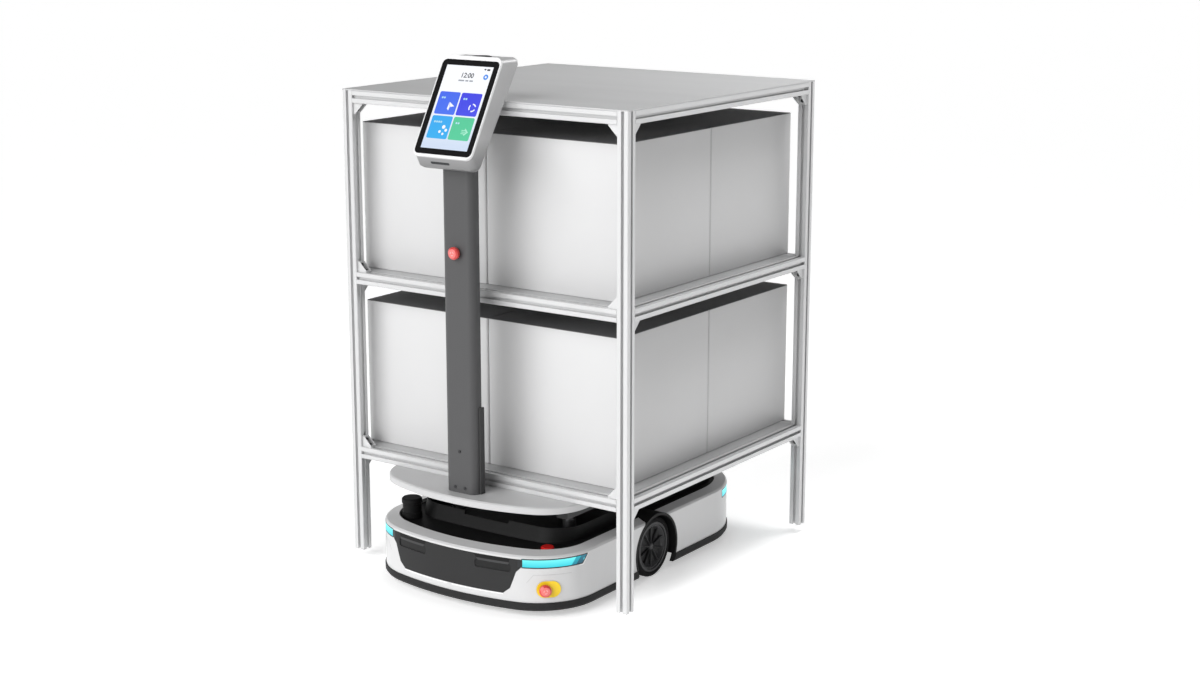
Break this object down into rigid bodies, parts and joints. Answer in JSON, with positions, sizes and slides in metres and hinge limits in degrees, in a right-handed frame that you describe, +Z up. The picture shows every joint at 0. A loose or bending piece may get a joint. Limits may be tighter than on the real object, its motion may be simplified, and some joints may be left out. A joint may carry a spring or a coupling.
{
  "type": "autonomous mobile robot",
  "caption": "Low wheeled lift robot with a screen on a column, carrying a slotted-profile shelf rack loaded with closed bins.",
  "frame": {"origin": "centre of the overall box at floor level, where the wheels stand", "axes": "+Z up, -Y the robot's front, +X its right side seen from behind the screen"},
  "size_m": [0.832, 0.9706, 1.2804],
  "materials": {
    "profile_aluminium": "satin anodised",
    "panel_aluminium": "satin",
    "bracket_gray": "satin",
    "screw_steel": "satin",
    "tote_white": "matte",
    "shell_white": "semi-gloss",
    "trim_charcoal": "satin",
    "window_smoke": "gloss",
    "light_cyan": "glowing",
    "bumper_black": "matte",
    "tray_black": "satin",
    "lens_red": "gloss",
    "stop_yellow": "satin",
    "stop_red": "gloss",
    "frame_steel": "powder coat",
    "deck_white": "satin",
    "machine_steel": "machined",
    "battery_case": "satin",
    "tyre_black": "matte",
    "hub_dark": "satin",
    "caster_rubber": "matte",
    "column_gray": "satin",
    "head_silver": "satin",
    "head_white": "semi-gloss",
    "glass_black": "gloss",
    "display_lit": "lit screen"
  },
  "bodies": {
    "chassis": {"chassis_frame": "frame_steel", "outer_shell": "shell_white", "inner_tray": "tray_black", "front_panel": "trim_charcoal", "camera_windows": "window_smoke", "light_strips": "light_cyan", "bumper_front": "bumper_black", "bumper_rear": "bumper_black", "arch_liners": "tray_black", "drive_units": "machine_steel", "stop_plate": "stop_yellow", "lidar": "tray_black", "marker_lens": "lens_red", "battery_pack": "battery_case", "lift_sleeves": "machine_steel", "lift_jack": "machine_steel"},
    "wheel_left": {"tyre_left": "tyre_black", "hub_left": "hub_dark"},
    "wheel_right": {"tyre_right": "tyre_black", "hub_right": "hub_dark"},
    "caster_front_left": {"caster_fork_front_left": "machine_steel"},
    "roller_front_left": {"caster_wheel_front_left": "caster_rubber"},
    "caster_front_right": {"caster_fork_front_right": "machine_steel"},
    "roller_front_right": {"caster_wheel_front_right": "caster_rubber"},
    "caster_rear_left": {"caster_fork_rear_left": "machine_steel"},
    "roller_rear_left": {"caster_wheel_rear_left": "caster_rubber"},
    "caster_rear_right": {"caster_fork_rear_right": "machine_steel"},
    "roller_rear_right": {"caster_wheel_rear_right": "caster_rubber"},
    "deck": {"deck_plate": "deck_white", "deck_frame": "frame_steel", "lift_rods": "machine_steel", "column": "column_gray", "column_bracket": "column_gray", "column_screws": "screw_steel", "head_shell": "head_silver", "head_bezel": "head_white", "head_glass": "glass_black", "head_display": "display_lit"},
    "column_stop": {"column_stop_button": "stop_red"},
    "base_stop": {"base_stop_button": "stop_red"},
    "rack": {"post_front_left": "profile_aluminium", "post_front_right": "profile_aluminium", "post_rear_left": "profile_aluminium", "post_rear_right": "profile_aluminium", "beams_low": "profile_aluminium", "beams_mid": "profile_aluminium", "beams_top": "profile_aluminium", "shelf_low": "panel_aluminium", "shelf_mid": "panel_aluminium", "top_panel": "panel_aluminium", "corner_brackets": "bracket_gray", "bracket_screws": "screw_steel"},
    "tote_low_front_left": {"bin_low_front_left": "tote_white"},
    "tote_low_front_right": {"bin_low_front_right": "tote_white"},
    "tote_low_rear_left": {"bin_low_rear_left": "tote_white"},
    "tote_low_rear_right": {"bin_low_rear_right": "tote_white"},
    "tote_high_front_left": {"bin_high_front_left": "tote_white"},
    "tote_high_front_right": {"bin_high_front_right": "tote_white"},
    "tote_high_rear_left": {"bin_high_rear_left": "tote_white"},
    "tote_high_rear_right": {"bin_high_rear_right": "tote_white"}
  },
  "joints": [
    {"name": "drive_left", "type": "hinge", "parent": "chassis", "child": "wheel_left", "pos_m": [-0.267, -0.04118, 0.075], "axis": [1, 0, 0], "continuous": true},
    {"name": "drive_right", "type": "hinge", "parent": "chassis", "child": "wheel_right", "pos_m": [0.267, -0.04118, 0.075], "axis": [1, 0, 0], "continuous": true},
    {"name": "caster_swivel_front_left", "type": "hinge", "parent": "chassis", "child": "caster_front_left", "pos_m": [-0.19, -0.33118, 0.104], "axis": [0, 0, 1], "continuous": true},
    {"name": "caster_roll_front_left", "type": "hinge", "parent": "caster_front_left", "child": "roller_front_left", "pos_m": [-0.19, -0.30618, 0.0375], "axis": [1, 0, 0], "continuous": true},
    {"name": "caster_swivel_front_right", "type": "hinge", "parent": "chassis", "child": "caster_front_right", "pos_m": [0.19, -0.33118, 0.104], "axis": [0, 0, 1], "continuous": true},
    {"name": "caster_roll_front_right", "type": "hinge", "parent": "caster_front_right", "child": "roller_front_right", "pos_m": [0.19, -0.30618, 0.0375], "axis": [1, 0, 0], "continuous": true},
    {"name": "caster_swivel_rear_left", "type": "hinge", "parent": "chassis", "child": "caster_rear_left", "pos_m": [-0.19, 0.30382, 0.104], "axis": [0, 0, 1], "continuous": true},
    {"name": "caster_roll_rear_left", "type": "hinge", "parent": "caster_rear_left", "child": "roller_rear_left", "pos_m": [-0.19, 0.32882, 0.0375], "axis": [1, 0, 0], "continuous": true},
    {"name": "caster_swivel_rear_right", "type": "hinge", "parent": "chassis", "child": "caster_rear_right", "pos_m": [0.19, 0.30382, 0.104], "axis": [0, 0, 1], "continuous": true},
    {"name": "caster_roll_rear_right", "type": "hinge", "parent": "caster_rear_right", "child": "roller_rear_right", "pos_m": [0.19, 0.32882, 0.0375], "axis": [1, 0, 0], "continuous": true},
    {"name": "deck_lift", "type": "slide", "parent": "chassis", "child": "deck", "axis": [0, 0, 1], "range_m": [-0.021, 0.024]},
    {"name": "column_stop_press", "type": "slide", "parent": "deck", "child": "column_stop", "axis": [0, 1, 0], "range_m": [0, 0.004], "stiffness_N_per_m": 600},
    {"name": "base_stop_press", "type": "slide", "parent": "chassis", "child": "base_stop", "axis": [-0.6934, 0.7206, 0], "range_m": [0, 0.004], "stiffness_N_per_m": 600},
    {"name": "rack_dock", "type": "slide", "parent": "deck", "child": "rack", "axis": [0, 1, 0], "range_m": [0, 0.95]},
    {"name": "tote_low_front_left_slide", "type": "slide", "parent": "rack", "child": "tote_low_front_left", "axis": [-1, 0, 0], "range_m": [0, 0.4]},
    {"name": "tote_low_front_right_slide", "type": "slide", "parent": "rack", "child": "tote_low_front_right", "axis": [1, 0, 0], "range_m": [0, 0.4]},
    {"name": "tote_low_rear_left_slide", "type": "slide", "parent": "rack", "child": "tote_low_rear_left", "axis": [0, 1, 0], "range_m": [0, 0.4]},
    {"name": "tote_low_rear_right_slide", "type": "slide", "parent": "rack", "child": "tote_low_rear_right", "axis": [0, 1, 0], "range_m": [0, 0.4]},
    {"name": "tote_high_front_left_slide", "type": "slide", "parent": "rack", "child": "tote_high_front_left", "axis": [-1, 0, 0], "range_m": [0, 0.4]},
    {"name": "tote_high_front_right_slide", "type": "slide", "parent": "rack", "child": "tote_high_front_right", "axis": [1, 0, 0], "range_m": [0, 0.4]},
    {"name": "tote_high_rear_left_slide", "type": "slide", "parent": "rack", "child": "tote_high_rear_left", "axis": [0, 1, 0], "range_m": [0, 0.4]},
    {"name": "tote_high_rear_right_slide", "type": "slide", "parent": "rack", "child": "tote_high_rear_right", "axis": [0, 1, 0], "range_m": [0, 0.4]}
  ]
}
